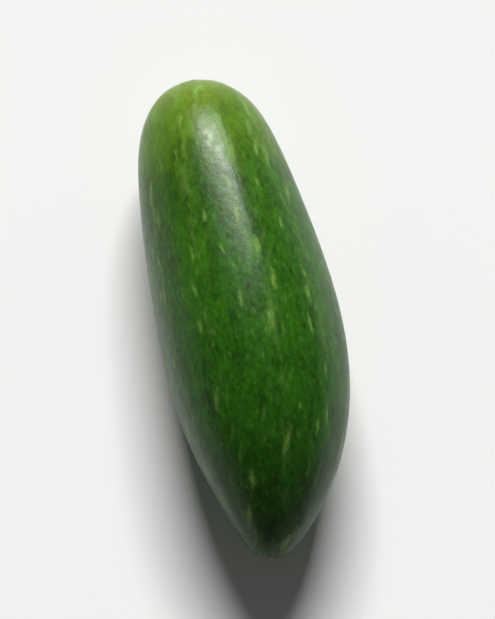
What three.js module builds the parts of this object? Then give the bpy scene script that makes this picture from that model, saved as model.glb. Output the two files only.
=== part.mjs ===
// Ivy gourd: one whole fruit as picked, lying on its side on a level surface.
//
// Millimetres, +Z up. +X runs along the fruit from the blossom end to the stem end.
// The origin is the bottom centre of the fruit's bounding box, so it rests on z = 0.

import * as THREE from 'three';
import { mergeVertices } from 'three/addons/utils/BufferGeometryUtils.js';

// ---- Driving dimensions ---------------------------------------------------

const LENGTH = 56.3; // blossom end to the tip of the stem end, before the stalk is cut off
const WIDTH = 20.7; // across the widest part

// How full the body is beside a plain ellipsoid, at even steps from the blossom end to
// the stem end: a blunt blossom end, a slight waist, a full belly and a tapered neck.
const FULLNESS = [1.34, 0.71, 0.99, 1.24, 0.69];

// The fruit is bent a little: its spine leaves a straight line most at two thirds of
// the way to the stem end, to one side and upwards, so that the stem end droops.
const SIDE_BOW = 2.4;
const ARCH = 1.6;

// Three carpels make the section slightly three-sided, with a ridge on top and a flat
// side below. The swell is a share of the radius.
const CARPEL_SWELL = 0.022;

// The stalk came away cleanly and left a round, slightly dished scar.
const STEM_CUT = 0.3; // how much of the rounded tip the scar takes off
const STEM_SCAR_RADIUS = 1.1;
const STEM_SCAR_DISH = 0.2;

// The flower left a small corky knob.
const BLOSSOM_KNOB_RADIUS = 0.9;
const BLOSSOM_KNOB_HEIGHT = 0.35;

// The attitude in which the fruit lies still on a level surface, in degrees, and how deep
// its own weight presses its underside flat there.
const REST_ROLL = 6.75;
const REST_PITCH = 0.63;
const REST_FLAT = 0.4;

// How finely the skin is faceted.
const STEPS_AROUND = 64;
const STEPS_ALONG = 44;

// ---- Shape rules ----------------------------------------------------------

// A Bezier blend of evenly spaced weights, by repeated linear interpolation.
function blend(weights, t) {
  if (weights.length === 1) {
    return weights[0];
  }
  const closer = weights.slice(1).map((weight, i) => THREE.MathUtils.lerp(weights[i], weight, t));
  return blend(closer, t);
}

// The bend's share at t: 0 at both ends, 1 at two thirds, and its slope against t.
const BEND_PEAK = 27 / 4;

function bend(t) {
  return BEND_PEAK * t * t * (1 - t);
}

function bendSlope(t) {
  return BEND_PEAK * t * (2 - 3 * t);
}

// A soft round spot of height 1 for marks on the two ends.
function spot(distance, radius) {
  return Math.exp(-((distance / radius) ** 2));
}

// Moves one point of a unit sphere, whose poles are on the X axis, to the fruit's skin.
function placeOnSkin(point) {
  const t = (1 + point.x) / 2;
  const ridge = point.z ** 3 - 3 * point.z * point.y ** 2;
  const radius = (WIDTH / 2) * blend(FULLNESS, t) * (1 + CARPEL_SWELL * ridge);
  const sideways = radius * point.y;
  const upwards = radius * point.z;
  const offAxis = Math.hypot(sideways, upwards);

  // Across the spine the section stays square to it.
  const slope = bendSlope(t) / LENGTH;
  const ahead = new THREE.Vector3(1, SIDE_BOW * slope, ARCH * slope).normalize();
  const side = new THREE.Vector3(-ahead.y, ahead.x, 0).normalize();
  const up = new THREE.Vector3().crossVectors(ahead, side);

  // The knob stands proud of the blossom end, and the scar cuts off the stem end.
  const knob = t < 0.5 ? BLOSSOM_KNOB_HEIGHT * spot(offAxis, BLOSSOM_KNOB_RADIUS) : 0;
  const dish = t > 0.5 ? STEM_SCAR_DISH * spot(offAxis, STEM_SCAR_RADIUS) : 0;
  const reach = Math.min(LENGTH * t, LENGTH - STEM_CUT);

  point.set(reach, SIDE_BOW * bend(t), ARCH * bend(t));
  point.addScaledVector(side, sideways);
  point.addScaledVector(up, upwards);
  point.addScaledVector(ahead, -knob - dish);
}

// ---- The fruit ------------------------------------------------------------

function makeFruit() {
  const sphere = new THREE.SphereGeometry(1, STEPS_AROUND, STEPS_ALONG);
  sphere.rotateZ(-Math.PI / 2);
  sphere.deleteAttribute('normal');
  sphere.deleteAttribute('uv');

  const skin = mergeVertices(sphere, 1e-5);
  const positions = skin.getAttribute('position');
  const point = new THREE.Vector3();
  for (let i = 0; i < positions.count; i += 1) {
    point.fromBufferAttribute(positions, i);
    placeOnSkin(point);
    positions.setXYZ(i, point.x, point.y, point.z);
  }

  const waxyGreen = new THREE.MeshStandardMaterial({ color: 0x3f7a1c, roughness: 0.35, metalness: 0 });
  const fruit = new THREE.Mesh(skin, waxyGreen);
  fruit.name = 'ivy_gourd';
  return fruit;
}

// Turns the fruit to its resting attitude, presses its underside flat where it touches the
// surface, and stands its box on the origin.
function layDown(fruit) {
  const skin = fruit.geometry;
  skin.rotateX(THREE.MathUtils.degToRad(REST_ROLL));
  skin.rotateY(THREE.MathUtils.degToRad(REST_PITCH));

  skin.computeBoundingBox();
  const surface = skin.boundingBox.min.z + REST_FLAT;
  const positions = skin.getAttribute('position');
  for (let i = 0; i < positions.count; i += 1) {
    positions.setZ(i, Math.max(positions.getZ(i), surface));
  }
  skin.computeVertexNormals();

  skin.computeBoundingBox();
  const centre = skin.boundingBox.getCenter(new THREE.Vector3());
  fruit.position.set(-centre.x, -centre.y, -surface);
}

const fruit = makeFruit();
layDown(fruit);

const gourd = new THREE.Group();
gourd.add(fruit);

export default gourd;
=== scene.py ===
"""Looks of an ivy gourd: one whole fruit lying on a pale studio floor.

Geometry nodes grow the skin by the same shape rule and measures as the solid, and stand it where
the solid stands. One procedural material finishes it. The fruit's own measures and its pattern
are in millimetres; the stage is in metres.
"""

import math

import bpy
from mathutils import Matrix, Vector


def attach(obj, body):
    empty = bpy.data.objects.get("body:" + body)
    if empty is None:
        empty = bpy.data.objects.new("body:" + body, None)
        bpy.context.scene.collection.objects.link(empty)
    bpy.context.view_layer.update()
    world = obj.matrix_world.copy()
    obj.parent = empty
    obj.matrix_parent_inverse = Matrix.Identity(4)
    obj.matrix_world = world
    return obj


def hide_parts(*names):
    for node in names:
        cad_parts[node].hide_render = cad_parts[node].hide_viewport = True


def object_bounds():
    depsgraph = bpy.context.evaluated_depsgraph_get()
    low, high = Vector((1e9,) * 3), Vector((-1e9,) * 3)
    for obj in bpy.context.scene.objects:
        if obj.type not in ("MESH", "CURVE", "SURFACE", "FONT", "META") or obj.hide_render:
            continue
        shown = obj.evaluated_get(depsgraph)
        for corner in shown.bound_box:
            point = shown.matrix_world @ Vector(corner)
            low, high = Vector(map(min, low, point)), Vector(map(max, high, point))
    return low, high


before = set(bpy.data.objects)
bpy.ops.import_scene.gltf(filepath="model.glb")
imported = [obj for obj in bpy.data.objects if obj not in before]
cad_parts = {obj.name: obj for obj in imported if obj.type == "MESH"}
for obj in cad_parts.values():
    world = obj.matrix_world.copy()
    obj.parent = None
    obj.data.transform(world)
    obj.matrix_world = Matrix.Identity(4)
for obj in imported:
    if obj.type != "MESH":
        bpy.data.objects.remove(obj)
solid_low, solid_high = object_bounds()

MM = 0.001

# ---- The fruit's measures, in millimetres, as the solid has them -------------

LENGTH = 56.3  # blossom end to the tip of the stem end, before the stalk is cut off
WIDTH = 20.7
FULLNESS = (1.34, 0.71, 0.99, 1.24, 0.69)  # beside an ellipsoid, blossom end to stem end
SIDE_BOW = 2.4
ARCH = 1.6
CARPEL_SWELL = 0.022
STEM_CUT = 0.3
STEM_SCAR_RADIUS = 1.1
STEM_SCAR_DISH = 0.2
BLOSSOM_KNOB_RADIUS = 0.9
BLOSSOM_KNOB_HEIGHT = 0.35
REST_ROLL = 6.75  # degrees
REST_PITCH = 0.63
REST_FLAT = 0.4  # how deep the underside is flattened where the fruit lies

RIBS = 10  # bundles of veins that run the length of the fruit
BEND_PEAK = 27 / 4  # makes the bend's share 1 at two thirds of the length


# ---- Numbers in a node tree -------------------------------------------------


class Num:
    """A number in a node tree: arithmetic on it adds the nodes that work it out."""

    def __init__(self, tree, socket):
        self.tree = tree
        self.socket = socket

    def calc(self, operation, *values, clamp=False):
        node = self.tree.nodes.new("ShaderNodeMath")
        node.operation = operation
        node.use_clamp = clamp
        for socket, value in zip(node.inputs, values):
            feed(self.tree, value, socket)
        return Num(self.tree, node.outputs[0])

    def __add__(self, other):
        return self.calc("ADD", self, other)

    def __radd__(self, other):
        return self.calc("ADD", other, self)

    def __sub__(self, other):
        return self.calc("SUBTRACT", self, other)

    def __rsub__(self, other):
        return self.calc("SUBTRACT", other, self)

    def __mul__(self, other):
        return self.calc("MULTIPLY", self, other)

    def __rmul__(self, other):
        return self.calc("MULTIPLY", other, self)

    def __truediv__(self, other):
        return self.calc("DIVIDE", self, other)

    def __rtruediv__(self, other):
        return self.calc("DIVIDE", other, self)

    def __neg__(self):
        return self.calc("MULTIPLY", self, -1.0)

    def __pow__(self, power):
        return self.calc("POWER", self, power)

    def squared(self):
        return self * self

    def root(self):
        return self.calc("SQRT", self)

    def sine(self):
        return self.calc("SINE", self)

    def cosine(self):
        return self.calc("COSINE", self)

    def arccosine(self):
        return self.calc("ARCCOSINE", self)

    def floor(self):
        return self.calc("FLOOR", self)

    def rounded(self):
        return self.calc("ROUND", self)

    def clamped(self):
        return self.calc("ADD", self, 0.0, clamp=True)

    def at_least(self, other):
        return self.calc("MAXIMUM", self, other)

    def at_most(self, other, softness=0.0):
        return self.calc("SMOOTH_MIN", self, other, softness)

    def above(self, limit):
        return self.calc("GREATER_THAN", self, limit)

    def wrapped(self, count):
        return self.calc("FLOORED_MODULO", self, count)

    def bell(self, middle, width):
        """1 where this number is middle, falling away within width."""
        return self.calc("EXPONENT", -((self - middle) / width).squared())

    def ramp(self, start, end):
        """A smooth step: 0 up to start, 1 from end on. It falls if end is below start."""
        node = self.tree.nodes.new("ShaderNodeMapRange")
        node.interpolation_type = "SMOOTHSTEP"
        flip = end < start
        for name, value in (
            ("Value", self),
            ("From Min", min(start, end)),
            ("From Max", max(start, end)),
            ("To Min", 1.0 if flip else 0.0),
            ("To Max", 0.0 if flip else 1.0),
        ):
            feed(self.tree, value, node.inputs[name])
        return Num(self.tree, node.outputs["Result"])


def feed(tree, value, socket):
    """Links a number or a socket into a socket, or sets a plain value there."""
    if isinstance(value, Num):
        tree.links.new(value.socket, socket)
    elif isinstance(value, bpy.types.NodeSocket):
        tree.links.new(value, socket)
    else:
        socket.default_value = value


def together(tree, parts):
    """The vector socket of three numbers."""
    node = tree.nodes.new("ShaderNodeCombineXYZ")
    for socket, part in zip(node.inputs, parts):
        feed(tree, part, socket)
    return node.outputs[0]


def apart(tree, vector):
    """The three numbers of a vector socket."""
    node = tree.nodes.new("ShaderNodeSeparateXYZ")
    tree.links.new(vector, node.inputs[0])
    return tuple(Num(tree, socket) for socket in node.outputs)


def angle_of(across, upwards):
    """The angle of a point round the spine, in radians."""
    return across.calc("ARCTAN2", upwards, across)


def length_of(a, b):
    """The length of a flat vector, such as how far a point is from the spine."""
    return (a.squared() + b.squared()).root()


def near_ends(along):
    """How near a point is to the blossom end and to the stem end: two numbers from 0 to 1."""
    t = along / LENGTH
    blossom = t.ramp(0.1, 0.05)
    stem = t.ramp(0.8, 0.9)
    return blossom, stem


def blend(weights, t):
    """A Bezier blend of evenly spaced weights, by repeated linear interpolation."""
    if len(weights) == 1:
        return weights[0]
    closer = [a + (b - a) * t for a, b in zip(weights, weights[1:])]
    return blend(closer, t)


def cloud(tree, where, size, stretch=1.0, detail=2.0, seed=0.0):
    """Noise from 0 to 1 whose lumps are about size long, and stretch times that along X."""
    x, y, z = where
    node = tree.nodes.new("ShaderNodeTexNoise")
    node.noise_dimensions = "3D"
    parts = (x / (size * stretch) + seed, y / size, z / size)
    tree.links.new(together(tree, parts), node.inputs["Vector"])
    node.inputs["Scale"].default_value = 1.0
    node.inputs["Detail"].default_value = detail
    return Num(tree, node.outputs["Fac"])


# ---- Growing the skin -------------------------------------------------------

POLE_PULL = math.radians(15)  # draws the mesh's steps towards the two ends
CUT_SOFTNESS = 1.0  # millimetres over which the tip rounds into the stem's cut

# Where the relief lies, in millimetres from the spine. An edge is where a feature begins and
# where it is full. A ridge is its middle and width.
RIB_EDGE = (0.5, 5.0)
COLLAR_OVERHANG = 0.2  # beyond the stem scar
COLLAR_WIDTH = 0.30
VEIN_RIDGE = (0.8, 0.16)
FIBRE_EDGE = (1.2, 0.9)
CRUST_EDGE = (1.1, 0.7)
STYLE_PIT = (0.0, 0.22)


def number_input(tree, name, value):
    """A named number of the tree. Lengths are in millimetres."""
    socket = tree.interface.new_socket(name=name, in_out="INPUT", socket_type="NodeSocketFloat")
    socket.default_value = value


def ball_points(tree):
    """The cube's points moved to a unit ball, closer together near the two ends."""
    position = tree.nodes.new("GeometryNodeInputPosition")
    x, y, z = apart(tree, position.outputs[0])
    xx, yy, zz = x.squared(), y.squared(), z.squared()
    ball_x = x * (1 - yy / 2 - zz / 2 + yy * zz / 3).at_least(0.0).root()
    ball_y = y * (1 - zz / 2 - xx / 2 + zz * xx / 3).at_least(0.0).root()
    ball_z = z * (1 - xx / 2 - yy / 2 + xx * yy / 3).at_least(0.0).root()

    angle = ball_x.at_least(-1.0).at_most(1.0).arccosine()
    pulled = angle - POLE_PULL * (angle * 2).sine()
    widen = pulled.sine() / angle.sine().at_least(1e-5)
    return pulled.cosine(), ball_y * widen, ball_z * widen


def grow_tree():
    """The geometry node tree of the fruit."""
    tree = bpy.data.node_groups.new("grow_gourd", "GeometryNodeTree")
    tree.is_modifier = True
    tree.interface.new_socket(name="Geometry", in_out="OUTPUT", socket_type="NodeSocketGeometry")
    sizes = {
        "Length": LENGTH,
        "Width": WIDTH,
        "Side bow": SIDE_BOW,
        "Arch": ARCH,
        "Carpel swell": CARPEL_SWELL,
        "Stem cut": STEM_CUT,
        "Stem scar radius": STEM_SCAR_RADIUS,
        "Stem scar dish": STEM_SCAR_DISH,
        "Blossom knob radius": BLOSSOM_KNOB_RADIUS,
        "Blossom knob height": BLOSSOM_KNOB_HEIGHT,
        "Rest roll (degrees)": REST_ROLL,
        "Rest pitch (degrees)": REST_PITCH,
        "Rest flat": REST_FLAT,
        "Rib height": 0.025,
        "Unevenness": 0.22,
        "Pebble height": 0.02,
        "Stem collar height": 0.06,
        "Stem vein height": 0.07,
        "Stem fibre height": 0.10,
        "Blossom cork height": 0.12,
        "Blossom pit depth": 0.15,
        "Steps along": 250,
        "Steps around a quarter": 80,
        "Seed": 4.0,
    }
    for name, value in sizes.items():
        number_input(tree, name, value)
    tree.interface.new_socket(name="Skin", in_out="INPUT", socket_type="NodeSocketMaterial")
    given = tree.nodes.new("NodeGroupInput")
    size = {name: Num(tree, given.outputs[name]) for name in sizes}
    length = size["Length"]

    cube = tree.nodes.new("GeometryNodeMeshCube")
    cube.inputs["Size"].default_value = (2.0, 2.0, 2.0)
    feed(tree, size["Steps along"] + 1, cube.inputs["Vertices X"])
    feed(tree, size["Steps around a quarter"] + 1, cube.inputs["Vertices Y"])
    feed(tree, size["Steps around a quarter"] + 1, cube.inputs["Vertices Z"])

    # The section: an ellipsoid's, made fuller or leaner along the fruit, with three carpels.
    ball_x, ball_y, ball_z = ball_points(tree)
    t = (ball_x + 1) / 2
    ridge = ball_z * ball_z.squared() - 3 * ball_z * ball_y.squared()
    radius = size["Width"] / 2 * blend(FULLNESS, t) * (1 + size["Carpel swell"] * ridge)
    sideways = radius * ball_y
    upwards = radius * ball_z
    off_axis = length_of(sideways, upwards)
    grown = (length * t, sideways, upwards)

    # The spine, and the directions ahead, to the side and up along it.
    share = BEND_PEAK * t.squared() * (1 - t)
    slope = BEND_PEAK * t * (2 - 3 * t) / length
    side_slope = size["Side bow"] * slope
    up_slope = size["Arch"] * slope
    step = (1 + side_slope.squared() + up_slope.squared()).root()
    ahead = (1 / step, side_slope / step, up_slope / step)
    level = length_of(ahead[0], ahead[1])
    side = (-ahead[1] / level, ahead[0] / level, 0.0)
    up = (-side[1] * ahead[2], side[0] * ahead[2], level)

    # The two ends: a corky knob where the flower was, a cut and dished scar where the stalk was.
    blossom = ball_x.ramp(-0.3, -0.6)
    stem = ball_x.ramp(0.3, 0.6)
    knob_shape = off_axis.bell(0.0, size["Blossom knob radius"])
    dish_shape = off_axis.bell(0.0, size["Stem scar radius"])
    knob = blossom * size["Blossom knob height"] * knob_shape
    dish = stem * size["Stem scar dish"] * dish_shape
    reach = (length * t).at_most(length - size["Stem cut"], CUT_SOFTNESS)
    back = knob + dish
    spine = (reach, size["Side bow"] * share, size["Arch"] * share)
    skin = [
        middle + across * sideways + rise * upwards - onward * back
        for middle, across, rise, onward in zip(spine, side, up, ahead)
    ]

    # The fruit as it would be with a straight spine: the skin's pattern is laid out on it.
    kept = tree.nodes.new("GeometryNodeStoreNamedAttribute")
    kept.data_type = "FLOAT_VECTOR"
    kept.domain = "POINT"
    kept.inputs["Name"].default_value = "grown"
    feed(tree, cube.outputs["Mesh"], kept.inputs["Geometry"])
    feed(tree, together(tree, grown), kept.inputs["Value"])

    placed = tree.nodes.new("GeometryNodeSetPosition")
    feed(tree, kept.outputs["Geometry"], placed.inputs["Geometry"])
    feed(tree, together(tree, skin), placed.inputs["Position"])

    relief = skin_relief(tree, size)
    normal = tree.nodes.new("GeometryNodeInputNormal")
    offset = [part * relief for part in apart(tree, normal.outputs["Normal"])]
    raised = tree.nodes.new("GeometryNodeSetPosition")
    feed(tree, placed.outputs["Geometry"], raised.inputs["Geometry"])
    feed(tree, together(tree, offset), raised.inputs["Offset"])

    laid = lay_down(tree, raised.outputs["Geometry"], size)
    smooth = tree.nodes.new("GeometryNodeSetShadeSmooth")
    feed(tree, laid, smooth.inputs["Geometry"])
    whole = tree.nodes.new("GeometryNodeRealizeInstances")
    feed(tree, smooth.outputs["Geometry"], whole.inputs["Geometry"])
    dressed = tree.nodes.new("GeometryNodeSetMaterial")
    feed(tree, whole.outputs["Geometry"], dressed.inputs["Geometry"])
    feed(tree, given.outputs["Skin"], dressed.inputs["Material"])
    result = tree.nodes.new("NodeGroupOutput")
    feed(tree, dressed.outputs["Geometry"], result.inputs["Geometry"])
    return tree


def skin_relief(tree, size):
    """How far each point of the skin stands out from the smooth fruit, in millimetres."""
    kept = tree.nodes.new("GeometryNodeInputNamedAttribute")
    kept.data_type = "FLOAT_VECTOR"
    kept.inputs["Name"].default_value = "grown"
    grown = apart(tree, kept.outputs["Attribute"])
    along, sideways, upwards = grown
    seed = size["Seed"]
    off_axis = length_of(sideways, upwards)
    turn = angle_of(sideways, upwards)

    ribs = size["Rib height"] * (turn * RIBS).cosine() * off_axis.ramp(*RIB_EDGE)
    lumps = cloud(tree, grown, 9.0, stretch=1.6, detail=1.0, seed=seed) - 0.5
    grains = cloud(tree, grown, 0.9, stretch=1.3, detail=2.0, seed=seed) - 0.5
    body = ribs + size["Unevenness"] * lumps + size["Pebble height"] * grains

    # On the stem scar: a collar, a ring of veins and torn fibres.
    on_blossom, on_stem = near_ends(along)
    collar_middle = size["Stem scar radius"] + COLLAR_OVERHANG
    collar = size["Stem collar height"] * off_axis.bell(collar_middle, COLLAR_WIDTH)
    bundles = (turn * RIBS).cosine().ramp(0.0, 1.0)
    veins = size["Stem vein height"] * off_axis.bell(*VEIN_RIDGE) * bundles
    torn = cloud(tree, grown, 0.25, detail=3.0, seed=seed) - 0.5
    fibres = size["Stem fibre height"] * torn * off_axis.ramp(*FIBRE_EDGE)
    stem_scar = on_stem * (collar + veins + fibres)

    # On the blossom knob: cork, with a pit where the style was.
    crumbs = cloud(tree, grown, 0.35, detail=3.0, seed=seed) - 0.5
    cork = size["Blossom cork height"] * crumbs * off_axis.ramp(*CRUST_EDGE)
    pit = size["Blossom pit depth"] * off_axis.bell(*STYLE_PIT)
    blossom_scar = on_blossom * (cork - pit)

    return body + stem_scar + blossom_scar


def lay_down(tree, geometry, size):
    """Turns the fruit to its resting attitude, in metres, and presses its underside flat."""
    degrees = math.pi / 180
    turned = tree.nodes.new("GeometryNodeTransform")
    feed(tree, geometry, turned.inputs["Geometry"])
    roll = size["Rest roll (degrees)"] * degrees
    pitch = size["Rest pitch (degrees)"] * degrees
    feed(tree, together(tree, (roll, pitch, 0.0)), turned.inputs["Rotation"])
    turned.inputs["Scale"].default_value = (MM, MM, MM)

    low, high = corners(tree, turned.outputs["Geometry"])
    surface = low[2] + size["Rest flat"] * MM
    position = tree.nodes.new("GeometryNodeInputPosition")
    x, y, z = apart(tree, position.outputs[0])
    pressed = tree.nodes.new("GeometryNodeSetPosition")
    feed(tree, turned.outputs["Geometry"], pressed.inputs["Geometry"])
    feed(tree, together(tree, (x, y, z.at_least(surface))), pressed.inputs["Position"])

    home = (solid_low + solid_high) / 2
    shift = (
        home.x - (low[0] + high[0]) / 2,
        home.y - (low[1] + high[1]) / 2,
        solid_low.z - surface,
    )
    stood = tree.nodes.new("GeometryNodeTransform")
    feed(tree, pressed.outputs["Geometry"], stood.inputs["Geometry"])
    feed(tree, together(tree, shift), stood.inputs["Translation"])
    return stood.outputs["Geometry"]


def corners(tree, geometry):
    """The lowest and highest corner of a geometry's box."""
    box = tree.nodes.new("GeometryNodeBoundBox")
    feed(tree, geometry, box.inputs["Geometry"])
    return apart(tree, box.outputs["Min"]), apart(tree, box.outputs["Max"])


# ---- The waxy skin ----------------------------------------------------------

# Linear colours. The greens run from the blossom end to the stem end.
GREENS = (
    (0.00, (0.114, 0.192, 0.004)),
    (0.13, (0.074, 0.168, 0.003)),
    (0.27, (0.027, 0.097, 0.002)),
    (0.45, (0.021, 0.096, 0.002)),
    (0.70, (0.016, 0.086, 0.002)),
    (1.00, (0.010, 0.050, 0.003)),
)
PALE_GREEN = (0.180, 0.320, 0.060)
HALO_GREEN = (0.230, 0.290, 0.060)
DARK_STRAW = (0.150, 0.130, 0.050)
PALE_STRAW = (0.310, 0.280, 0.130)
VEIN_BROWN = (0.085, 0.052, 0.020)
DARK_BARK = (0.070, 0.038, 0.018)
PALE_BARK = (0.240, 0.160, 0.070)
PIT_BROWN = (0.035, 0.020, 0.012)

# The scars' paint, in millimetres from the spine. An edge is where a patch ends and where it is
# full. A ring is its middle and width.
STEM_PAD_EDGE = (1.45, 1.05)
STEM_RING = (1.25, 0.20)
STEM_VEINS = (0.75, 0.22)
STEM_CORE = (0.0, 0.35)
BLOSSOM_CORK_EDGE = (1.00, 0.60)
BLOSSOM_HALO = (1.15, 0.40)
BLOSSOM_PIT = (0.0, 0.30)

STRIPES = 0.80  # how strongly the broken stripes show
ROW_TURN = 2.399  # radians; moves each row of dashes along by its own amount

# Kinds of dash. Each line: strength, rows round the fruit, pitch along a row, half length,
# half width, sideways scatter, share of places with a dash, seed.
DASHES = (
    (1.60, RIBS, 4.1, 1.60, 0.48, 1.4, 0.50, 1.0),
    (1.60, 7, 5.3, 1.40, 0.42, 2.4, 0.45, 9.0),
    (0.48, 17, 2.6, 0.95, 0.30, 0.8, 0.70, 2.0),
    (0.30, 31, 1.5, 0.50, 0.20, 0.5, 0.60, 5.0),
)

# Kinds of speck. Each line: strength, cell size, stretch along the fruit, radius, share of
# cells with a speck, seed.
SPECKS = (
    (0.28, 0.85, 1.5, 0.22, 0.55, 37.0),
    (0.22, 0.42, 1.3, 0.13, 0.60, 41.0),
)


def colour_ramp(tree, place, stops):
    """Colours along a number from 0 to 1, eased between stops of (place, linear colour)."""
    node = tree.nodes.new("ShaderNodeValToRGB")
    node.color_ramp.interpolation = "EASE"
    feed(tree, place, node.inputs["Fac"])
    elements = node.color_ramp.elements
    while len(elements) < len(stops):
        elements.new(0.5)
    for element, (where, colour) in zip(elements, stops):
        element.position = where
        element.color = (*colour, 1.0)
    return node.outputs["Color"]


def scaled(tree, colour, amount):
    """A colour made lighter or darker."""
    node = tree.nodes.new("ShaderNodeVectorMath")
    node.operation = "SCALE"
    tree.links.new(colour, node.inputs[0])
    feed(tree, amount, node.inputs["Scale"])
    return node.outputs["Vector"]


def mixed(tree, share, first, second):
    """A mix of two colours, each a socket or a linear colour."""
    node = tree.nodes.new("ShaderNodeMix")
    node.data_type = "RGBA"
    feed(tree, share, node.inputs["Factor"])
    a, b = [s for s in node.inputs if s.type == "RGBA"]
    for socket, colour in ((a, first), (b, second)):
        if isinstance(colour, bpy.types.NodeSocket):
            tree.links.new(colour, socket)
        else:
            socket.default_value = (*colour, 1.0)
    return next(s for s in node.outputs if s.type == "RGBA")


def specks(tree, grown, size, stretch, radius, share, seed):
    """Small pale spots scattered at random, at most one to a cell: a number from 0 to 1."""
    along, sideways, upwards = grown
    node = tree.nodes.new("ShaderNodeTexVoronoi")
    node.inputs["Scale"].default_value = 1.0
    parts = (along / (size * stretch) + seed, sideways / size, upwards / size)
    tree.links.new(together(tree, parts), node.inputs["Vector"])
    throws = tree.nodes.new("ShaderNodeSeparateColor")
    tree.links.new(node.outputs["Color"], throws.inputs[0])
    hold, strength, _ = (Num(tree, socket) for socket in throws.outputs)
    present = (share - hold).above(0.0)
    near = Num(tree, node.outputs["Distance"]).ramp(radius / size, 0.25 * radius / size)
    return near * present * (0.4 + 0.6 * strength)


def flecks(tree, grown, rows, pitch, half_length, half_width, scatter, share, seed):
    """Short pale dashes in rows along the fruit: a number from 0 to 1.

    Each row is cut into cells of one pitch, and share of the cells hold one dash each.
    """
    along, sideways, upwards = grown
    off_axis = length_of(sideways, upwards)
    wander = (cloud(tree, grown, 7.0, stretch=2.0, detail=1.0, seed=seed) - 0.5) * 0.5
    lane = angle_of(sideways, upwards) * (rows / math.tau) + wander
    row = lane.rounded()
    row_number = row.wrapped(float(rows))
    beside = (lane - row) * (math.tau / rows) * off_axis

    step = along / pitch + (row_number * ROW_TURN + seed).sine() * 3
    cell = step.floor()
    dice = tree.nodes.new("ShaderNodeTexWhiteNoise")
    dice.noise_dimensions = "3D"
    tree.links.new(together(tree, (row_number, cell, seed)), dice.inputs["Vector"])
    throws = tree.nodes.new("ShaderNodeSeparateColor")
    tree.links.new(dice.outputs["Color"], throws.inputs[0])
    long_throw, side_throw, size_throw = (Num(tree, socket) for socket in throws.outputs)
    hold = Num(tree, dice.outputs["Value"])

    # Each dash has its own place in its cell, its own lean and size, and a frayed edge.
    slack = pitch / 2 - half_length
    ahead = (step - cell - 0.5) * pitch - (long_throw - 0.5) * (2 * slack)
    lean = (size_throw - 0.35) * 0.5
    across = beside - (side_throw - 0.5) * (2 * scatter) - ahead * lean
    size = 0.5 + 0.5 * size_throw
    frayed = (cloud(tree, grown, 0.34, stretch=2.0, detail=3.0, seed=seed) - 0.5) * 2.1
    distance = length_of(ahead / (half_length * size), across / (half_width * size))
    present = (share - hold).above(0.0)
    return (distance + frayed).ramp(1.35, -0.1) * present * (0.45 + 0.55 * long_throw)


def pale_marks(tree, grown, t):
    """The broken pale stripes, dashes and specks of the skin: a number from 0 to 1."""
    _, sideways, upwards = grown

    # The stripes run along the ribs and are strongest near the blossom end.
    wander = (cloud(tree, grown, 8.0, stretch=2.0, detail=1.0, seed=29.0) - 0.5) * 3.2
    comb = ((angle_of(sideways, upwards) * RIBS + wander).cosine() + 1) / 2
    broken = cloud(tree, grown, 1.0, stretch=4.5, detail=3.0, seed=31.0).ramp(0.46, 0.68)
    marks = comb ** 6.0 * broken * (0.35 + 0.65 * t.ramp(0.45, 0.10)) * STRIPES

    for strength, *layout in DASHES:
        marks = marks + flecks(tree, grown, *layout) * strength
    for strength, *layout in SPECKS:
        marks = marks + specks(tree, grown, *layout) * strength
    return marks.clamped()


def skin_green(tree, grown, pale):
    """The greens along the fruit, streaked and mottled, with the pale marks over them."""
    t = grown[0] / LENGTH
    streak = cloud(tree, grown, 1.2, stretch=8.0, detail=2.0, seed=3.0)
    patch = cloud(tree, grown, 6.0, stretch=1.8, detail=2.0, seed=7.0)
    place = t + (streak - 0.5) * 0.20 + (patch - 0.5) * 0.16
    green = colour_ramp(tree, place, GREENS)

    # The mottling is weakest at the blossom end.
    fine = cloud(tree, grown, 0.45, stretch=1.5, detail=3.0, seed=11.0)
    middling = cloud(tree, grown, 0.95, stretch=1.6, detail=2.0, seed=15.0)
    coarse = cloud(tree, grown, 2.0, stretch=2.0, detail=2.0, seed=13.0)
    mottle = (fine - 0.5) * 1.4 + (middling - 0.5) * 1.0 + (coarse - 0.5) * 1.0
    mottle = mottle * (0.35 + 0.65 * t.ramp(0.02, 0.28))
    shade = (1.0 + mottle + (streak - 0.5) * 0.8).at_least(0.25)
    return mixed(tree, pale * 0.66, scaled(tree, green, shade), PALE_GREEN)


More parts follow.
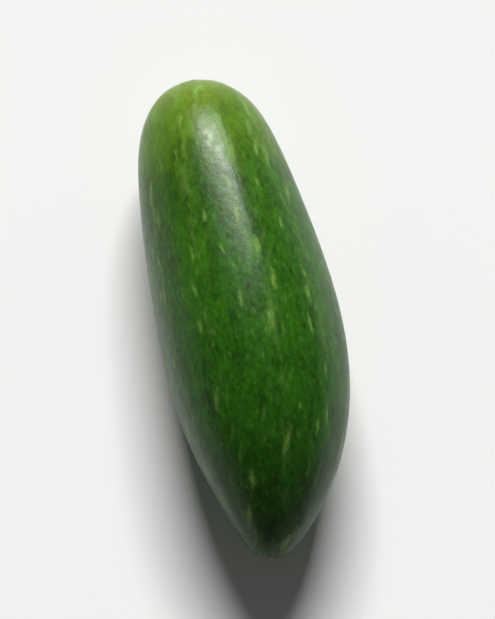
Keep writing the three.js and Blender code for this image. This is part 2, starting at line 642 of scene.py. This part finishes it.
def paint_scars(tree, grown, colour, grain):
    """Lays both scars over a colour. Gives the new colour, and how dry the surface is."""
    along, sideways, upwards = grown
    off_axis = length_of(sideways, upwards)
    on_blossom, on_stem = near_ends(along)
    ragged = off_axis + (cloud(tree, grown, 0.6, detail=3.0, seed=21.0) - 0.5) * 1.1

    # The stem scar: a straw-coloured pad, with a brown edge, veins and core.
    pad = on_stem * ragged.ramp(*STEM_PAD_EDGE)
    ring = on_stem * ragged.bell(*STEM_RING)
    comb = (angle_of(sideways, upwards) * RIBS).cosine()
    veins = on_stem * ragged.bell(*STEM_VEINS) * comb.ramp(-0.1, 0.9)
    core = on_stem * ragged.bell(*STEM_CORE)
    lines = (ring * 0.6 + veins * 0.7 + core * 0.5).clamped()
    straw = mixed(tree, grain.ramp(0.38, 0.62), DARK_STRAW, PALE_STRAW)
    colour = mixed(tree, pad, colour, straw)
    colour = mixed(tree, lines, colour, VEIN_BROWN)

    # The blossom scar: a pale ring of skin round a knob of bark with a dark pit.
    cork = on_blossom * ragged.ramp(*BLOSSOM_CORK_EDGE)
    halo = on_blossom * ragged.bell(*BLOSSOM_HALO)
    pit = on_blossom * ragged.bell(*BLOSSOM_PIT)
    bark = mixed(tree, grain.ramp(0.36, 0.62), DARK_BARK, PALE_BARK)
    colour = mixed(tree, halo * 0.55, colour, HALO_GREEN)
    colour = mixed(tree, cork, colour, bark)
    colour = mixed(tree, pit * 0.7, colour, PIT_BROWN)
    return colour, (pad + cork).clamped()


def waxy_skin():
    """Half-gloss green skin: yellow-green at the blossom end, dark at the stem end."""
    material = bpy.data.materials.new("waxy_gourd_skin")
    material.use_nodes = True
    tree = material.node_tree
    tree.nodes.clear()
    attribute = tree.nodes.new("ShaderNodeAttribute")
    attribute.attribute_name = "grown"
    grown = apart(tree, attribute.outputs["Vector"])

    pale = pale_marks(tree, grown, grown[0] / LENGTH)
    grain = cloud(tree, grown, 0.22, detail=3.0, seed=17.0)
    colour, dry = paint_scars(tree, grown, skin_green(tree, grown, pale), grain)

    # Gloss, and the finest relief, in millimetres, which the mesh is too coarse for.
    gloss_cloud = cloud(tree, grown, 0.8, stretch=1.5, detail=3.0, seed=19.0)
    roughness = 0.33 + (gloss_cloud - 0.5) * 0.30 + pale * 0.05 + dry * 0.45
    pebble = cloud(tree, grown, 0.24, stretch=1.3, detail=1.0, seed=23.0)
    dimple = cloud(tree, grown, 0.60, stretch=1.4, detail=1.0, seed=27.0)
    height = pebble * 0.008 + dimple * 0.019 - pale * 0.008 + dry * grain * 0.05
    bump = tree.nodes.new("ShaderNodeBump")
    bump.inputs["Strength"].default_value = 1.0
    bump.inputs["Distance"].default_value = MM
    feed(tree, height, bump.inputs["Height"])

    shader = tree.nodes.new("ShaderNodeBsdfPrincipled")
    feed(tree, colour, shader.inputs["Base Color"])
    feed(tree, roughness, shader.inputs["Roughness"])
    feed(tree, bump.outputs["Normal"], shader.inputs["Normal"])
    shader.inputs["IOR"].default_value = 1.45
    shader.inputs["Specular IOR Level"].default_value = 0.3
    shader.inputs["Subsurface Weight"].default_value = 0.08
    shader.inputs["Subsurface Radius"].default_value = (0.5, 1.0, 0.2)
    shader.inputs["Subsurface Scale"].default_value = 0.6 * MM
    output = tree.nodes.new("ShaderNodeOutputMaterial")
    tree.links.new(shader.outputs["BSDF"], output.inputs["Surface"])
    return material


# ---- The fruit --------------------------------------------------------------


def grow_gourd(skin):
    """Runs the tree once and keeps what it grew as a plain mesh."""
    tree = grow_tree()
    seedling = bpy.data.objects.new("seedling", bpy.data.meshes.new("seedling"))
    bpy.context.scene.collection.objects.link(seedling)
    growth = seedling.modifiers.new("growth", "NODES")
    growth.node_group = tree
    for item in tree.interface.items_tree:
        if item.in_out == "INPUT" and item.socket_type == "NodeSocketMaterial":
            growth[item.identifier] = skin
    graph = bpy.context.evaluated_depsgraph_get()
    mesh = bpy.data.meshes.new_from_object(
        seedling.evaluated_get(graph), preserve_all_data_layers=True, depsgraph=graph
    )
    bpy.data.objects.remove(seedling)
    mesh.name = "gourd"
    gourd = bpy.data.objects.new("gourd", mesh)
    bpy.context.scene.collection.objects.link(gourd)
    return gourd


gourd = grow_gourd(waxy_skin())
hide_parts("ivy_gourd")
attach(gourd, "root")


# ---- Floor, light and camera ------------------------------------------------


def direction(azimuth, elevation):
    """Towards a place round the object. Azimuth 0 is -Y and 90 is +X."""
    turn, rise = math.radians(azimuth), math.radians(elevation)
    level = math.cos(rise)
    return Vector((math.sin(turn) * level, -math.cos(turn) * level, math.sin(rise)))


def aim(thing, target):
    """Turns a light or a camera to face a target."""
    thing.rotation_euler = (target - thing.location).to_track_quat("-Z", "Y").to_euler()


FLOOR_COLOUR = (0.86, 0.86, 0.85, 1.0)
BACKDROP_COLOUR = (1.0, 1.0, 0.99, 1.0)
BACKDROP = 0.86  # how bright the backdrop looks
SWEEP = (0.15, 0.9)  # how far from the fruit the floor passes into the backdrop


def pale_floor(side=8.0):
    """A square floor under the fruit."""
    half = side / 2
    square = [(-half, -half, 0), (half, -half, 0), (half, half, 0), (-half, half, 0)]
    mesh = bpy.data.meshes.new("floor")
    mesh.from_pydata(square, [], [(0, 1, 2, 3)])
    floor = bpy.data.objects.new("floor", mesh)
    floor.location.z = solid_low.z
    bpy.context.scene.collection.objects.link(floor)
    mesh.materials.append(floor_paint())


def floor_paint():
    """Dull and pale round the fruit, passing without a line into the backdrop's light far off."""
    material = bpy.data.materials.new("pale_floor")
    material.use_nodes = True
    tree = material.node_tree
    tree.nodes.clear()
    place = tree.nodes.new("ShaderNodeTexCoord")
    x, y, _ = apart(tree, place.outputs["Object"])
    dull = tree.nodes.new("ShaderNodeBsdfDiffuse")
    dull.inputs["Color"].default_value = FLOOR_COLOUR
    glow = tree.nodes.new("ShaderNodeEmission")
    glow.inputs["Color"].default_value = BACKDROP_COLOUR
    glow.inputs["Strength"].default_value = BACKDROP
    sweep = tree.nodes.new("ShaderNodeMixShader")
    feed(tree, length_of(x, y).ramp(*SWEEP), sweep.inputs[0])
    feed(tree, dull.outputs[0], sweep.inputs[1])
    feed(tree, glow.outputs[0], sweep.inputs[2])
    output = tree.nodes.new("ShaderNodeOutputMaterial")
    feed(tree, sweep.outputs[0], output.inputs["Surface"])
    return material


def soft_box(name, towards, distance, width, height, power):
    """A soft light, width by height, aimed at the middle of the fruit."""
    lamp = bpy.data.lights.new(name, "AREA")
    lamp.shape = "RECTANGLE"
    lamp.size = width
    lamp.size_y = height
    lamp.energy = power
    light = bpy.data.objects.new(name, lamp)
    light.location = middle + towards.normalized() * distance
    aim(light, middle)
    bpy.context.scene.collection.objects.link(light)


def studio_air(horizon, zenith):
    """A pale backdrop, and the soft light of a room with pale walls and a dim ceiling."""
    world = bpy.data.worlds.new("studio")
    world.use_nodes = True
    tree = world.node_tree
    place = tree.nodes.new("ShaderNodeTexCoord")
    _, _, height = apart(tree, place.outputs["Generated"])
    wall = height.ramp(0.55, 0.0)
    background = tree.nodes["Background"]
    background.inputs["Color"].default_value = BACKDROP_COLOUR
    light = zenith + wall * (horizon - zenith)
    seen = Num(tree, tree.nodes.new("ShaderNodeLightPath").outputs["Is Camera Ray"])
    feed(tree, light + seen * (BACKDROP - light), background.inputs["Strength"])
    bpy.context.scene.world = world


def camera_at(azimuth, elevation, lens, distance):
    """The scene's camera, aimed at the middle of the fruit."""
    data = bpy.data.cameras.new("camera")
    data.lens = lens
    data.sensor_width = 36.0
    camera = bpy.data.objects.new("camera", data)
    camera.location = middle + direction(azimuth, elevation) * distance
    aim(camera, middle)
    bpy.context.scene.collection.objects.link(camera)
    bpy.context.scene.camera = camera


middle = (solid_low + solid_high) / 2
pale_floor()
key_side = Vector((-0.74, 0.13, 0.66))
soft_box("key", towards=key_side, distance=5.0, width=2.60, height=0.72, power=376.0)
studio_air(horizon=0.16, zenith=0.075)
camera_at(azimuth=81.2, elevation=75.0, lens=200.0, distance=0.385)
bpy.context.scene.view_settings.view_transform = "Standard"
